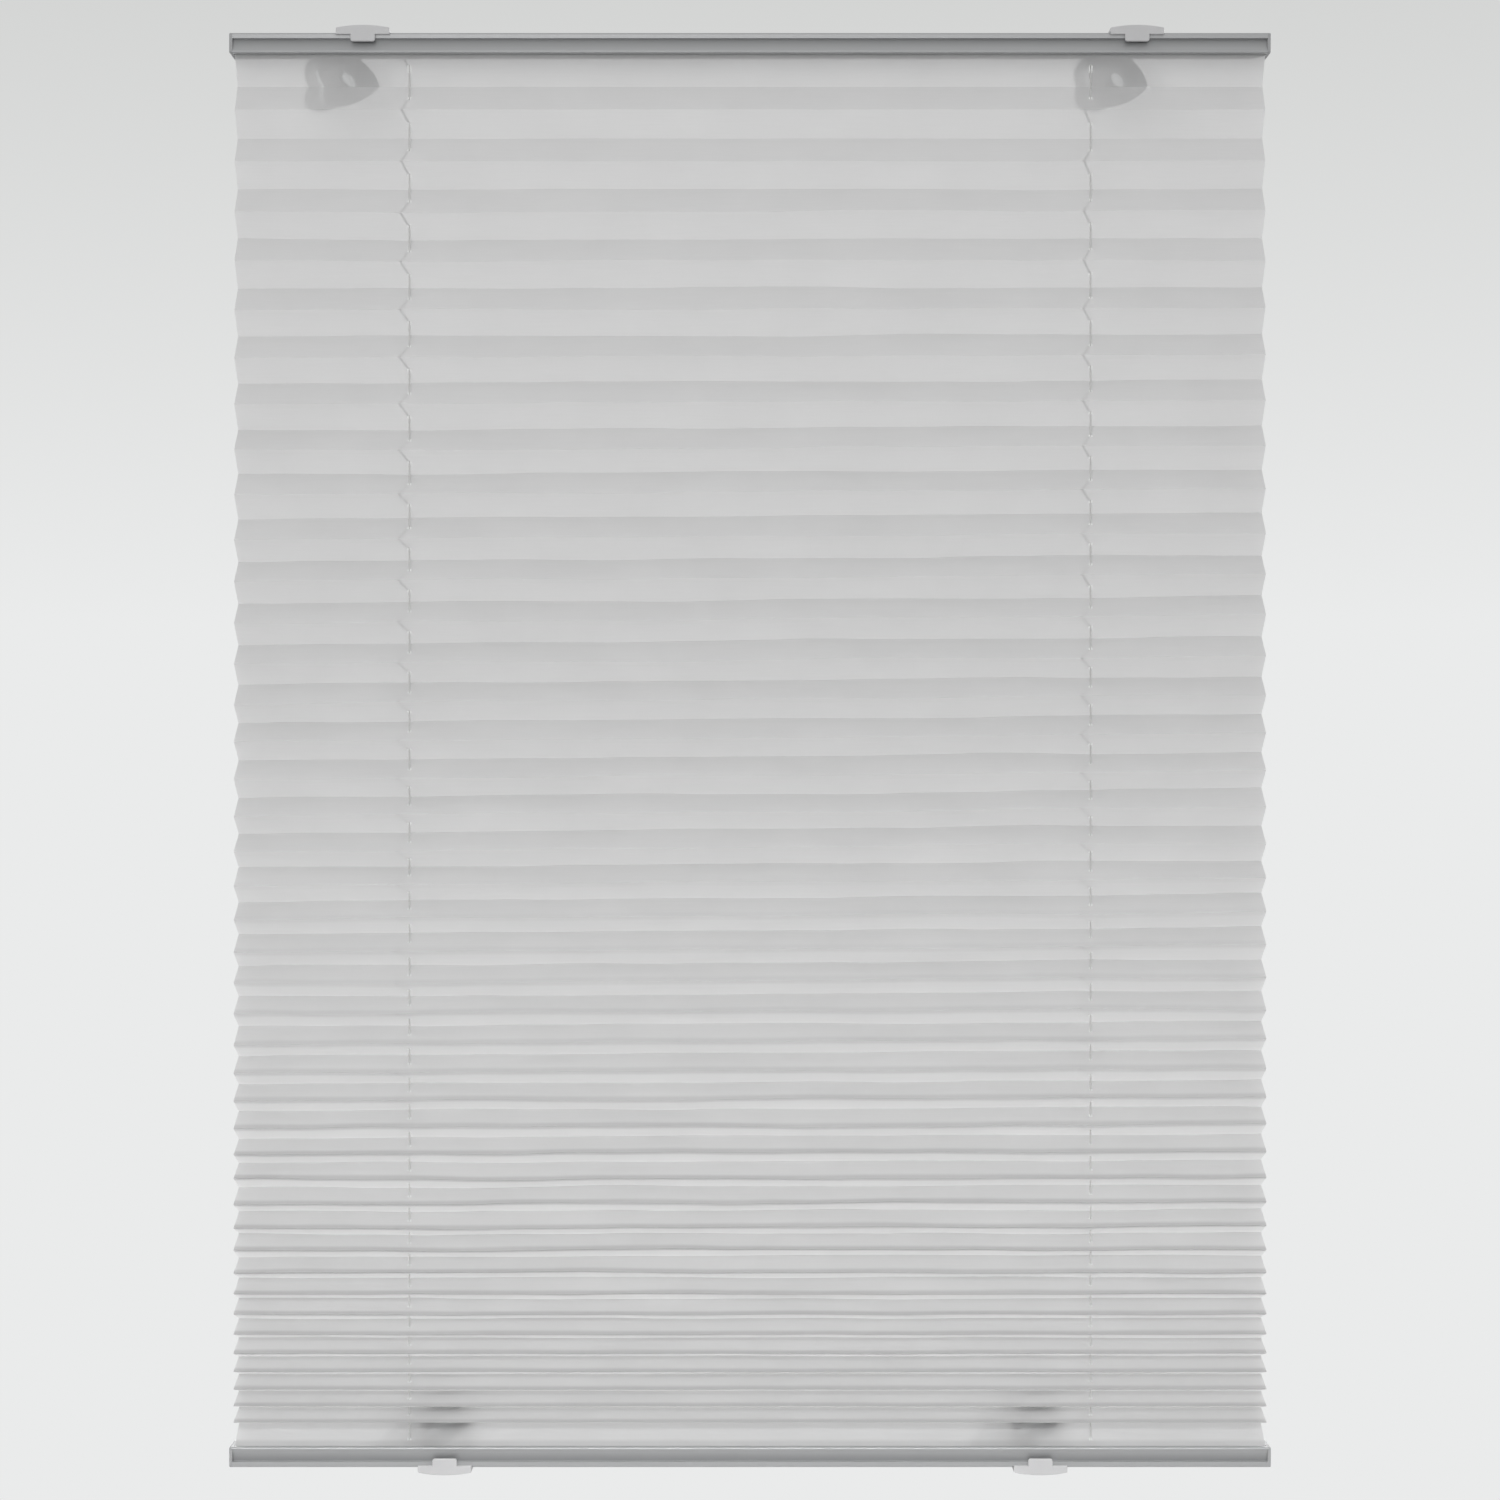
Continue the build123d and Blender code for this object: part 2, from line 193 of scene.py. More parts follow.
def makeCoatedAluminium():
    material, tree = newMaterial("coatedAluminium")
    place = addNode(tree, "ShaderNodeTexCoord").outputs["Object"]
    pitch = railLook["dieLinePitch"]
    stretched = addNode(tree, "ShaderNodeMapping", {
        "Vector": place, "Scale": (1 / railLook["dieLineLength"], 1 / pitch, 1 / pitch)})
    lines = addNode(tree, "ShaderNodeTexNoise", {
        "Vector": stretched.outputs[0], "Scale": 1.0, "Detail": 2.0})
    grain = addNode(tree, "ShaderNodeTexNoise", {
        "Vector": place, "Scale": railLook["grainsPerMetre"], "Detail": 3.0})
    colour = addNode(tree, "ShaderNodeMix", {
        0: lines.outputs["Fac"], 6: hexColour(railLook["coatShade"]),
        7: hexColour(railLook["coat"])}, data_type="RGBA")
    # painted shade: the coat darkens in the hollow under the outer lip
    height = addNode(tree, "ShaderNodeSeparateXYZ", {0: place}).outputs["Z"]
    fromMiddle = addNode(tree, "ShaderNodeMath", {0: height}, operation="ABSOLUTE").outputs[0]
    hollow = addNode(tree, "ShaderNodeMapRange", {
        "Value": fromMiddle, "From Min": railLook["hollowShadeFrom"], "From Max": railLook["hollowShadeTo"]},
        interpolation_type="SMOOTHSTEP")
    underLip = addNode(tree, "ShaderNodeMath", {
        0: fromMiddle, 1: railLook["hollowShadeTo"]}, operation="LESS_THAN")
    hollowShadeMask = addNode(tree, "ShaderNodeMath", {
        0: hollow.outputs[0], 1: underLip.outputs[0]}, operation="MULTIPLY")
    coatWithShade = addNode(tree, "ShaderNodeMix", {
        0: hollowShadeMask.outputs[0], 6: colour.outputs[2], 7: hexColour(railLook["hollowShade"])},
        data_type="RGBA")
    rough = addNode(tree, "ShaderNodeMapRange", {
        "Value": grain.outputs["Fac"], "From Min": 0.3, "From Max": 0.7,
        "To Min": railLook["roughness"][0], "To Max": railLook["roughness"][1]})
    relief = addNode(tree, "ShaderNodeMath", {
        0: grain.outputs["Fac"], 1: 0.4, 2: lines.outputs["Fac"]}, operation="MULTIPLY_ADD")
    bump = addNode(tree, "ShaderNodeBump", {
        "Strength": 0.12, "Distance": 0.0001, "Height": relief.outputs[0]})
    coat = addNode(tree, "ShaderNodeBsdfPrincipled", {
        "Base Color": coatWithShade.outputs[2], "Metallic": railLook["metallic"],
        "Roughness": rough.outputs[0], "Normal": bump.outputs[0]})
    finishMaterial(tree, coat)
    return material


# Moulded plastics: an eroded mould's fine grain and a soft, slightly uneven gloss
plasticLooks = {
    "capPolypropylene": {
        "colour": "#a3a4a5", "shade": "#999a9b", "roughness": (0.45, 0.6), "grain": 0.0005},
    "holderAbs": {
        "colour": "#c8c8c9", "shade": "#c0c0c1", "roughness": (0.4, 0.52), "grain": 0.0006},
    "guideAcetal": {
        "colour": "#8b8c8e", "shade": "#828385", "roughness": (0.3, 0.42), "grain": 0.0005},
    "stripPvc": {
        "colour": "#a9aaab", "shade": "#9fa0a1", "roughness": (0.4, 0.55), "grain": 0.0007},
    "beadPolypropylene": {
        "colour": "#6c6d70", "shade": "#636467", "roughness": (0.35, 0.5), "grain": 0.0004},
}
flowMarksPerMetre = 70.0


def makePlastic(name):
    look = plasticLooks[name]
    material, tree = newMaterial(name)
    place = addNode(tree, "ShaderNodeTexCoord").outputs["Object"]
    grain = addNode(tree, "ShaderNodeTexNoise", {
        "Vector": place, "Scale": 1 / look["grain"], "Detail": 2.0, "Roughness": 0.6})
    flow = addNode(tree, "ShaderNodeTexNoise", {
        "Vector": place, "Scale": flowMarksPerMetre, "Detail": 2.0})
    colour = addNode(tree, "ShaderNodeMix", {
        0: flow.outputs["Fac"], 6: hexColour(look["shade"]), 7: hexColour(look["colour"])},
        data_type="RGBA")
    rough = addNode(tree, "ShaderNodeMapRange", {
        "Value": flow.outputs["Fac"], "From Min": 0.3, "From Max": 0.7,
        "To Min": look["roughness"][0], "To Max": look["roughness"][1]})
    bump = addNode(tree, "ShaderNodeBump", {
        "Strength": 0.18, "Distance": 0.0001, "Height": grain.outputs["Fac"]})
    moulded = addNode(tree, "ShaderNodeBsdfPrincipled", {
        "Base Color": colour.outputs[2], "Roughness": rough.outputs[0], "IOR": 1.5,
        "Normal": bump.outputs[0]})
    finishMaterial(tree, moulded)
    return material


# Clear soft PVC: glossy and see-through in the middle, milky where it is seen edge on
cupLook = {
    "colour": "#cbcccc",
    "clear": "#f4f6f6",
    "hazePerMetre": 160.0,
    "roughness": 0.12,
    "middle": 0.03,
    "edge": 0.9,
    "rimFrom": 0.0130,  # how far from the cup's middle its thick milky rim starts
    "rimFull": 0.0140,
    "rim": 0.6,
}


def makeClearPvc(nodeName):
    material, tree = newMaterial("clearPvc_" + nodeName)
    lowest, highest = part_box(nodeName)
    middle = [(low + high) / 2 for low, high in zip(lowest, highest)]
    place = addNode(tree, "ShaderNodeTexCoord").outputs["Object"]
    haze = addNode(tree, "ShaderNodeTexNoise", {
        "Vector": place, "Scale": cupLook["hazePerMetre"], "Detail": 2.0})
    bump = addNode(tree, "ShaderNodeBump", {
        "Strength": 0.1, "Distance": 0.0002, "Height": haze.outputs["Fac"]})
    body = addNode(tree, "ShaderNodeBsdfPrincipled", {
        "Base Color": hexColour(cupLook["colour"]), "Roughness": cupLook["roughness"],
        "IOR": 1.52, "Normal": bump.outputs[0]})
    clear = addNode(tree, "ShaderNodeBsdfTransparent", {"Color": hexColour(cupLook["clear"])})
    edge = addNode(tree, "ShaderNodeLayerWeight", {"Blend": 0.5}).outputs["Facing"]
    edgeCover = addNode(tree, "ShaderNodeMapRange", {
        "Value": edge, "From Min": 0.5, "To Min": cupLook["middle"], "To Max": cupLook["edge"]})
    fromMiddle = addNode(tree, "ShaderNodeVectorMath", {0: place, 1: middle}, operation="SUBTRACT")
    outward = addNode(tree, "ShaderNodeVectorMath", {
        0: fromMiddle.outputs[0], 1: (1.0, 0.0, 1.0)}, operation="MULTIPLY")
    radius = addNode(tree, "ShaderNodeVectorMath", {0: outward.outputs[0]}, operation="LENGTH")
    rimCover = addNode(tree, "ShaderNodeMapRange", {
        "Value": radius.outputs["Value"], "From Min": cupLook["rimFrom"],
        "From Max": cupLook["rimFull"], "To Max": cupLook["rim"]})
    cover = addNode(tree, "ShaderNodeMath", {
        0: edgeCover.outputs[0], 1: rimCover.outputs[0]}, operation="MAXIMUM")
    both = addNode(tree, "ShaderNodeMixShader", {
        0: cover.outputs[0], 1: clear.outputs[0], 2: body.outputs[0]})
    finishMaterial(tree, both)
    return material


# Braided polyester cord: small slanting strands with a dull sheen
cordLook = {
    "strand": "#ececeb",
    "gap": "#dddddd",
    "strandPitch": 0.0016,
    "lean": 0.8,
    "throughShare": 0.6,
}


def makeBraidedPolyester():
    material, tree = newMaterial("braidedPolyester")
    place = addNode(tree, "ShaderNodeTexCoord").outputs["Object"]
    leanings = []
    for lean in (cordLook["lean"], -cordLook["lean"]):
        turned = addNode(tree, "ShaderNodeMapping", {"Vector": place, "Rotation": (lean, lean, 0.0)})
        leanings.append(addNode(tree, "ShaderNodeTexWave", {
            "Vector": turned.outputs[0], "Scale": waveUnit / cordLook["strandPitch"],
            "Distortion": 0.4}, bands_direction="Z"))
    braid = addNode(tree, "ShaderNodeMath", {
        0: leanings[0].outputs["Fac"], 1: leanings[1].outputs["Fac"]}, operation="MAXIMUM")
    colour = addNode(tree, "ShaderNodeMix", {
        0: braid.outputs[0], 6: hexColour(cordLook["gap"]), 7: hexColour(cordLook["strand"])},
        data_type="RGBA")
    bump = addNode(tree, "ShaderNodeBump", {
        "Strength": 0.5, "Distance": 0.0002, "Height": braid.outputs[0]})
    strands = addNode(tree, "ShaderNodeBsdfPrincipled", {
        "Base Color": colour.outputs[2], "Roughness": 0.7, "Specular IOR Level": 0.3,
        "Normal": bump.outputs[0]})
    through = addNode(tree, "ShaderNodeBsdfTranslucent", {"Color": hexColour(cordLook["strand"])})
    both = addNode(tree, "ShaderNodeMixShader", {
        0: cordLook["throughShare"], 1: strands.outputs[0], 2: through.outputs[0]})
    finishMaterial(tree, both)
    return material


pleatedPolyester = makePleatedPolyester()
braidedPolyester = makeBraidedPolyester()
finishes = {
    "end_cap": makePlastic("capPolypropylene"),
    "holder": makePlastic("holderAbs"),
    "cord_guide": makePlastic("guideAcetal"),
    "fabric_strip": makePlastic("stripPvc"),
    "cord_bead": makePlastic("beadPolypropylene"),
    "rail": makeCoatedAluminium(),
}
for nodeName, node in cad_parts.items():
    if "suction_cup" in nodeName:
        finish = makeClearPvc(nodeName)
    else:
        finish = next((made for words, made in finishes.items() if words in nodeName), None)
    if finish:
        for materialSlot in node.material_slots:
            materialSlot.material = finish
print("materials made and put on the solids")

# The pleated cloth: panels of equal length whose folds close up towards the bottom
cloth = {
    "Columns": 93,
    "Panels": 82,
    "Rows Per Panel": 9,
    "Width": 0.694,
    "Panel Length": panelLength,
    "Top Fold": 0.449,
    "Bottom Fold": -0.457,
    "First Height": 0.0195,
    "Last Height": 0.0115,
    "Slot Place": -0.00435,
    "Tail": 0.003,
    "Closest Share": 0.30,
    "Exponent": 1.15,
    "Top Roundness": 0.06,
    "Bottom Roundness": 0.06,
    "Cord Place": cordPlace,
    "Hole Width": 0.0024,
    "Hole Depth": 0.0020,
    "Middle Plane": midY,
    "Tilt": 0.0030,
    "Waviness": 0.0016,
    "Waves Across": 5.0,
    "Waves Per Fold": 0.45,
    "Free From": 0.35,  # of the slack, from which the folds wander fully
    "Fold Angle": 0.5,  # radians, from which an edge is a sharp fold
    "Seed": 4.0,
}


def makePleatTree():
    tree = bpy.data.node_groups.new("pleatedCloth", "GeometryNodeTree")
    tree.interface.new_socket("Geometry", in_out="OUTPUT", socket_type="NodeSocketGeometry")
    for name, value in cloth.items():
        kind = "NodeSocketInt" if isinstance(value, int) else "NodeSocketFloat"
        tree.interface.new_socket(name, in_out="INPUT", socket_type=kind)
    tree.interface.new_socket("Cloth", in_out="INPUT", socket_type="NodeSocketMaterial")
    size = addNode(tree, "NodeGroupInput").outputs

    # a flat grid, whose second coordinate becomes the number of the fold
    rowShare = addNode(tree, "ShaderNodeMath", {
        0: 1.0, 1: size["Rows Per Panel"]}, operation="DIVIDE").outputs[0]
    topEnd = addNode(tree, "ShaderNodeMath", {0: -1.0, 1: rowShare}, operation="SUBTRACT").outputs[0]
    bottomEnd = addNode(tree, "ShaderNodeMath", {
        0: size["Panels"], 1: topEnd}, operation="SUBTRACT").outputs[0]
    foldSpan = addNode(tree, "ShaderNodeMath", {
        0: bottomEnd, 1: topEnd}, operation="SUBTRACT").outputs[0]
    rows = addNode(tree, "ShaderNodeMath", {
        0: foldSpan, 1: size["Rows Per Panel"], 2: 1.2},  # one row more than gaps, safe from rounding
        operation="MULTIPLY_ADD").outputs[0]
    grid = addNode(tree, "GeometryNodeMeshGrid", {
        "Size X": size["Width"], "Size Y": 1.0, "Vertices X": size["Columns"], "Vertices Y": rows})
    flatPlace = addNode(tree, "GeometryNodeInputPosition").outputs[0]
    place = addNode(tree, "ShaderNodeSeparateXYZ", {0: flatPlace})
    across = place.outputs["X"]
    fold = addNode(tree, "ShaderNodeMapRange", {
        "Value": place.outputs["Y"], "From Min": 0.5, "From Max": -0.5, "To Min": topEnd,
        "To Max": bottomEnd}).outputs[0]

    # columns beside each cord move to the edges of its holes
    columnGap = addNode(tree, "ShaderNodeMath", {
        0: size["Width"], 1: size["Columns"]}, operation="DIVIDE").outputs[0]
    fromMiddle = addNode(tree, "ShaderNodeMath", {0: across}, operation="ABSOLUTE").outputs[0]
    fromCord = addNode(tree, "ShaderNodeMath", {
        0: fromMiddle, 1: size["Cord Place"]}, operation="SUBTRACT").outputs[0]
    cordSide = addNode(tree, "ShaderNodeMath", {0: fromCord}, operation="SIGN").outputs[0]
    halfHole = addNode(tree, "ShaderNodeMath", {
        0: size["Hole Width"], 1: 0.5}, operation="MULTIPLY").outputs[0]
    holeEdge = addNode(tree, "ShaderNodeMath", {
        0: cordSide, 1: halfHole, 2: size["Cord Place"]}, operation="MULTIPLY_ADD").outputs[0]
    side = addNode(tree, "ShaderNodeMath", {0: across}, operation="SIGN").outputs[0]
    snapped = addNode(tree, "ShaderNodeMath", {0: holeEdge, 1: side}, operation="MULTIPLY").outputs[0]
    isBeside = addNode(tree, "ShaderNodeMath", {
        0: fromMiddle, 1: size["Cord Place"], 2: columnGap}, operation="COMPARE").outputs[0]
    placeX = addNode(tree, "ShaderNodeMix", {
        0: isBeside, 2: across, 3: snapped}, data_type="FLOAT").outputs[0]

    # fold heights: each panel's share falls from 1 to the closest share by a power
    insideFold = addNode(tree, "ShaderNodeClamp", {
        "Value": fold, "Min": 0.0, "Max": size["Panels"]}).outputs[0]
    down = addNode(tree, "ShaderNodeMath", {
        0: insideFold, 1: size["Panels"]}, operation="DIVIDE").outputs[0]
    left = addNode(tree, "ShaderNodeMath", {0: 1.0, 1: down}, operation="SUBTRACT").outputs[0]
    leftPower = addNode(tree, "ShaderNodeMath", {
        0: left, 1: size["Exponent"]}, operation="POWER").outputs[0]
    share = addNode(tree, "ShaderNodeMapRange", {
        "Value": leftPower, "To Min": size["Closest Share"], "To Max": 1.0}).outputs[0]
    exponentUp = addNode(tree, "ShaderNodeMath", {
        0: size["Exponent"], 1: 1.0}, operation="ADD").outputs[0]
    leftSum = addNode(tree, "ShaderNodeMath", {0: left, 1: exponentUp}, operation="POWER").outputs[0]
    powerSum = addNode(tree, "ShaderNodeMath", {0: 1.0, 1: leftSum}, operation="SUBTRACT").outputs[0]
    powerPart = addNode(tree, "ShaderNodeMath", {
        0: powerSum, 1: exponentUp}, operation="DIVIDE").outputs[0]
    reached = addNode(tree, "ShaderNodeMix", {
        0: size["Closest Share"], 2: powerPart, 3: down}, data_type="FLOAT").outputs[0]
    wholePart = addNode(tree, "ShaderNodeMath", {
        0: 1.0, 1: exponentUp}, operation="DIVIDE").outputs[0]
    whole = addNode(tree, "ShaderNodeMix", {
        0: size["Closest Share"], 2: wholePart, 3: 1.0}, data_type="FLOAT").outputs[0]
    foldZ = addNode(tree, "ShaderNodeMapRange", {
        "Value": reached, "From Max": whole, "To Min": size["Top Fold"],
        "To Max": size["Bottom Fold"]}).outputs[0]

    # fold depths: what is left of the panel's length at that height
    drop = addNode(tree, "ShaderNodeMath", {
        0: size["Top Fold"], 1: size["Bottom Fold"]}, operation="SUBTRACT").outputs[0]
    panelSum = addNode(tree, "ShaderNodeMath", {
        0: size["Panels"], 1: whole}, operation="MULTIPLY").outputs[0]
    tallest = addNode(tree, "ShaderNodeMath", {0: drop, 1: panelSum}, operation="DIVIDE").outputs[0]
    height = addNode(tree, "ShaderNodeMath", {0: tallest, 1: share}, operation="MULTIPLY").outputs[0]
    slope = addNode(tree, "ShaderNodeMath", {
        0: height, 1: size["Panel Length"]}, operation="DIVIDE").outputs[0]
    lean = addNode(tree, "ShaderNodeMath", {0: slope}, operation="ARCSINE").outputs[0]
    leanCos = addNode(tree, "ShaderNodeMath", {0: lean}, operation="COSINE").outputs[0]
    depth = addNode(tree, "ShaderNodeMath", {
        0: leanCos, 1: size["Panel Length"]}, operation="MULTIPLY").outputs[0]
    toAndFro = addNode(tree, "ShaderNodeMath", {
        0: insideFold, 1: 1.0}, operation="PINGPONG").outputs[0]
    sharpSwing = addNode(tree, "ShaderNodeMapRange", {
        "Value": toAndFro, "To Min": 0.5, "To Max": -0.5}).outputs[0]
    foldTurn = addNode(tree, "ShaderNodeMath", {
        0: insideFold, 1: math.pi}, operation="MULTIPLY").outputs[0]
    foldCos = addNode(tree, "ShaderNodeMath", {0: foldTurn}, operation="COSINE").outputs[0]
    roundSwing = addNode(tree, "ShaderNodeMath", {
        0: foldCos, 1: 0.5}, operation="MULTIPLY").outputs[0]
    roundness = addNode(tree, "ShaderNodeMix", {
        0: down, 2: size["Top Roundness"], 3: size["Bottom Roundness"]}, data_type="FLOAT").outputs[0]
    swing = addNode(tree, "ShaderNodeMix", {
        0: roundness, 2: sharpSwing, 3: roundSwing}, data_type="FLOAT").outputs[0]
    foldY = addNode(tree, "ShaderNodeMath", {0: swing, 1: depth}, operation="MULTIPLY").outputs[0]

    # the first and last panels run into the rails' slots and end in tails
    endPanel = addNode(tree, "ShaderNodeMath", {
        0: size["Panels"], 1: 1.0}, operation="ADD").outputs[0]
    intoTop = addNode(tree, "ShaderNodeMapRange", {
        "Value": fold, "From Min": 0.0, "From Max": -1.0}).outputs[0]
    intoBottom = addNode(tree, "ShaderNodeMapRange", {
        "Value": fold, "From Min": size["Panels"], "From Max": endPanel}).outputs[0]
    topTail = addNode(tree, "ShaderNodeMapRange", {
        "Value": fold, "From Min": -1.0, "From Max": topEnd, "To Max": size["Tail"]}).outputs[0]
    bottomTail = addNode(tree, "ShaderNodeMapRange", {
        "Value": fold, "From Min": endPanel, "From Max": bottomEnd,
        "To Max": size["Tail"]}).outputs[0]
    intoSlot = addNode(tree, "ShaderNodeMath", {
        0: intoTop, 1: intoBottom}, operation="ADD").outputs[0]
    sheetY = addNode(tree, "ShaderNodeMix", {
        0: intoSlot, 2: foldY, 3: size["Slot Place"]}, data_type="FLOAT").outputs[0]
    topRise = addNode(tree, "ShaderNodeMath", {
        0: intoTop, 1: size["First Height"], 2: topTail}, operation="MULTIPLY_ADD").outputs[0]
    bottomFall = addNode(tree, "ShaderNodeMath", {
        0: intoBottom, 1: size["Last Height"], 2: bottomTail}, operation="MULTIPLY_ADD").outputs[0]
    ends = addNode(tree, "ShaderNodeMath", {
        0: topRise, 1: bottomFall}, operation="SUBTRACT").outputs[0]
    sheetZ = addNode(tree, "ShaderNodeMath", {0: foldZ, 1: ends}, operation="ADD").outputs[0]

    # the folds of the real cloth lean a little to one side and wander
    fromTop = addNode(tree, "ShaderNodeMapRange", {
        "Value": foldZ, "From Min": size["Top Fold"], "From Max": size["Bottom Fold"],
        "To Max": math.pi}).outputs[0]
    slack = addNode(tree, "ShaderNodeMath", {0: fromTop}, operation="SINE").outputs[0]
    tiltShare = addNode(tree, "ShaderNodeMath", {0: slack, 1: 2.0}, operation="POWER").outputs[0]
    acrossShare = addNode(tree, "ShaderNodeMath", {
        0: across, 1: size["Width"]}, operation="DIVIDE").outputs[0]
    tiltAcross = addNode(tree, "ShaderNodeMath", {
        0: acrossShare, 1: 2.0}, operation="MULTIPLY").outputs[0]
    tiltEdge = addNode(tree, "ShaderNodeMath", {
        0: tiltShare, 1: size["Tilt"]}, operation="MULTIPLY").outputs[0]
    tilted = addNode(tree, "ShaderNodeMath", {
        0: tiltAcross, 1: tiltEdge, 2: sheetZ}, operation="MULTIPLY_ADD").outputs[0]
    wanderAcross = addNode(tree, "ShaderNodeMath", {
        0: acrossShare, 1: size["Waves Across"]}, operation="MULTIPLY").outputs[0]
    wanderDown = addNode(tree, "ShaderNodeMath", {
        0: fold, 1: size["Waves Per Fold"]}, operation="MULTIPLY").outputs[0]
    wanderAt = addNode(tree, "ShaderNodeCombineXYZ", {0: wanderAcross, 1: wanderDown, 2: 0.0})
    wander = addNode(tree, "ShaderNodeTexNoise", {
        "Vector": wanderAt.outputs[0], "W": size["Seed"], "Scale": 1.0, "Detail": 2.0},
        noise_dimensions="4D").outputs[0]
    wandered = addNode(tree, "ShaderNodeMapRange", {
        "Value": wander, "From Min": 0.2, "From Max": 0.8, "To Min": -1.0, "To Max": 1.0},
        clamp=False).outputs[0]
    free = addNode(tree, "ShaderNodeMapRange", {
        "Value": slack, "From Max": size["Free From"]}).outputs[0]
    wanderSize = addNode(tree, "ShaderNodeMath", {
        0: free, 1: size["Waviness"]}, operation="MULTIPLY").outputs[0]
    placeZ = addNode(tree, "ShaderNodeMath", {
        0: wandered, 1: wanderSize, 2: tilted}, operation="MULTIPLY_ADD").outputs[0]
    placeY = addNode(tree, "ShaderNodeMath", {
        0: sheetY, 1: size["Middle Plane"]}, operation="ADD").outputs[0]

    # the cloth's own map, in metres across and along the flat sheet
    along = addNode(tree, "ShaderNodeMath", {
        0: fold, 1: size["Panel Length"]}, operation="MULTIPLY").outputs[0]
    flat = addNode(tree, "ShaderNodeCombineXYZ", {0: placeX, 1: along})
    mapped = addNode(tree, "GeometryNodeStoreNamedAttribute", {
        "Geometry": grid.outputs["Mesh"], "Name": "clothUv", "Value": flat.outputs[0]},
        data_type="FLOAT2", domain="CORNER")
    foldedAt = addNode(tree, "ShaderNodeCombineXYZ", {0: placeX, 1: placeY, 2: placeZ})
    folded = addNode(tree, "GeometryNodeSetPosition", {
        "Geometry": mapped.outputs[0], "Position": foldedAt.outputs[0]})

    # a hole in each panel where a cord goes through
    foldedPlace = addNode(tree, "GeometryNodeInputPosition").outputs[0]
    spot = addNode(tree, "ShaderNodeSeparateXYZ", {0: foldedPlace})
    spotSide = addNode(tree, "ShaderNodeMath", {
        0: spot.outputs["X"]}, operation="ABSOLUTE").outputs[0]
    atCord = addNode(tree, "ShaderNodeMath", {
        0: spotSide, 1: size["Cord Place"], 2: halfHole}, operation="COMPARE").outputs[0]
    halfDepth = addNode(tree, "ShaderNodeMath", {
        0: size["Hole Depth"], 1: 0.5}, operation="MULTIPLY").outputs[0]
    atMiddle = addNode(tree, "ShaderNodeMath", {
        0: spot.outputs["Y"], 1: size["Middle Plane"], 2: halfDepth}, operation="COMPARE").outputs[0]
    isHole = addNode(tree, "ShaderNodeMath", {
        0: atCord, 1: atMiddle}, operation="MULTIPLY").outputs[0]
    pierced = addNode(tree, "GeometryNodeDeleteGeometry", {
        "Geometry": folded.outputs[0], "Selection": isHole}, domain="FACE")

    # smooth along each panel, sharp at each fold
    smooth = addNode(tree, "GeometryNodeSetShadeSmooth", {
        "Geometry": pierced.outputs[0], "Shade Smooth": True}, domain="FACE")
    foldAngle = addNode(tree, "GeometryNodeInputMeshEdgeAngle").outputs["Unsigned Angle"]
    isFold = addNode(tree, "ShaderNodeMath", {
        0: foldAngle, 1: size["Fold Angle"]}, operation="GREATER_THAN").outputs[0]
    foldShaded = addNode(tree, "GeometryNodeSetShadeSmooth", {
        "Geometry": smooth.outputs[0], "Selection": isFold, "Shade Smooth": False}, domain="EDGE")
    real = addNode(tree, "GeometryNodeRealizeInstances", {0: foldShaded.outputs[0]})
    dressed = addNode(tree, "GeometryNodeSetMaterial", {
        "Geometry": real.outputs[0], "Material": size["Cloth"]})
    addNode(tree, "NodeGroupOutput", {0: dressed.outputs[0]})
    return tree


def meshFromModifier(name, tree, values):
    maker = bpy.data.objects.new(name + "Maker", bpy.data.meshes.new(name + "Maker"))
    scene.collection.objects.link(maker)
    modifier = maker.modifiers.new("nodes", "NODES")
    modifier.node_group = tree
    for item in tree.interface.items_tree:
        if item.in_out == "INPUT":
            modifier[item.identifier] = values[item.name]
    made = maker.evaluated_get(bpy.context.evaluated_depsgraph_get())
    mesh = bpy.data.meshes.new_from_object(made)
    maker.modifiers.remove(modifier)
    bpy.data.objects.remove(maker)
    return mesh


def halfOf(mesh, name, up):
    shape = bmesh.new()
    shape.from_mesh(mesh)
    everything = shape.verts[:] + shape.edges[:] + shape.faces[:]
    bmesh.ops.bisect_plane(shape, geom=everything, dist=1e-7, plane_co=(0, 0, 0),
                           plane_no=(0, 0, up), clear_inner=True)
    half = bpy.data.meshes.new(name)
    shape.to_mesh(half)
    shape.free()
    half.materials.append(pleatedPolyester)
    piece = bpy.data.objects.new(name, half)
    scene.collection.objects.link(piece)
    return piece


# a top and a bottom half of the cloth and of the cords, one for each rail
slides = {
    1: {"end": "top", "joint": "top_rail_slide", "rail": "top_rail_body"},
    -1: {"end": "bottom", "joint": "bottom_rail_slide", "rail": "bottom_rail_body"},
}
wholeCloth = meshFromModifier("pleats", makePleatTree(), {**cloth, "Cloth": pleatedPolyester})
for up, slide in slides.items():
    piece = halfOf(wholeCloth, "pleatedCloth" + slide["end"].title(), up)
    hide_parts("pleated_fabric")
    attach(piece, "fixings")
    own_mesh(piece)
print("pleated cloth made with", len(wholeCloth.polygons), "faces")
bpy.data.meshes.remove(wholeCloth)

# The cords, in pieces that follow the rails: the route is the same as the solids'
cordSizes = {
    "radius": 0.0006,
    "place": cordPlace,
    "bend": 0.0024,
    "run": 0.4775,
    "end": 0.4866,
    "rail": 0.4810,
    "holders": {(-1, 1): -0.260, (1, 1): 0.260, (-1, -1): -0.205, (1, -1): 0.195},
    "exits": {1: 0.4671, -1: 0.4683},
}


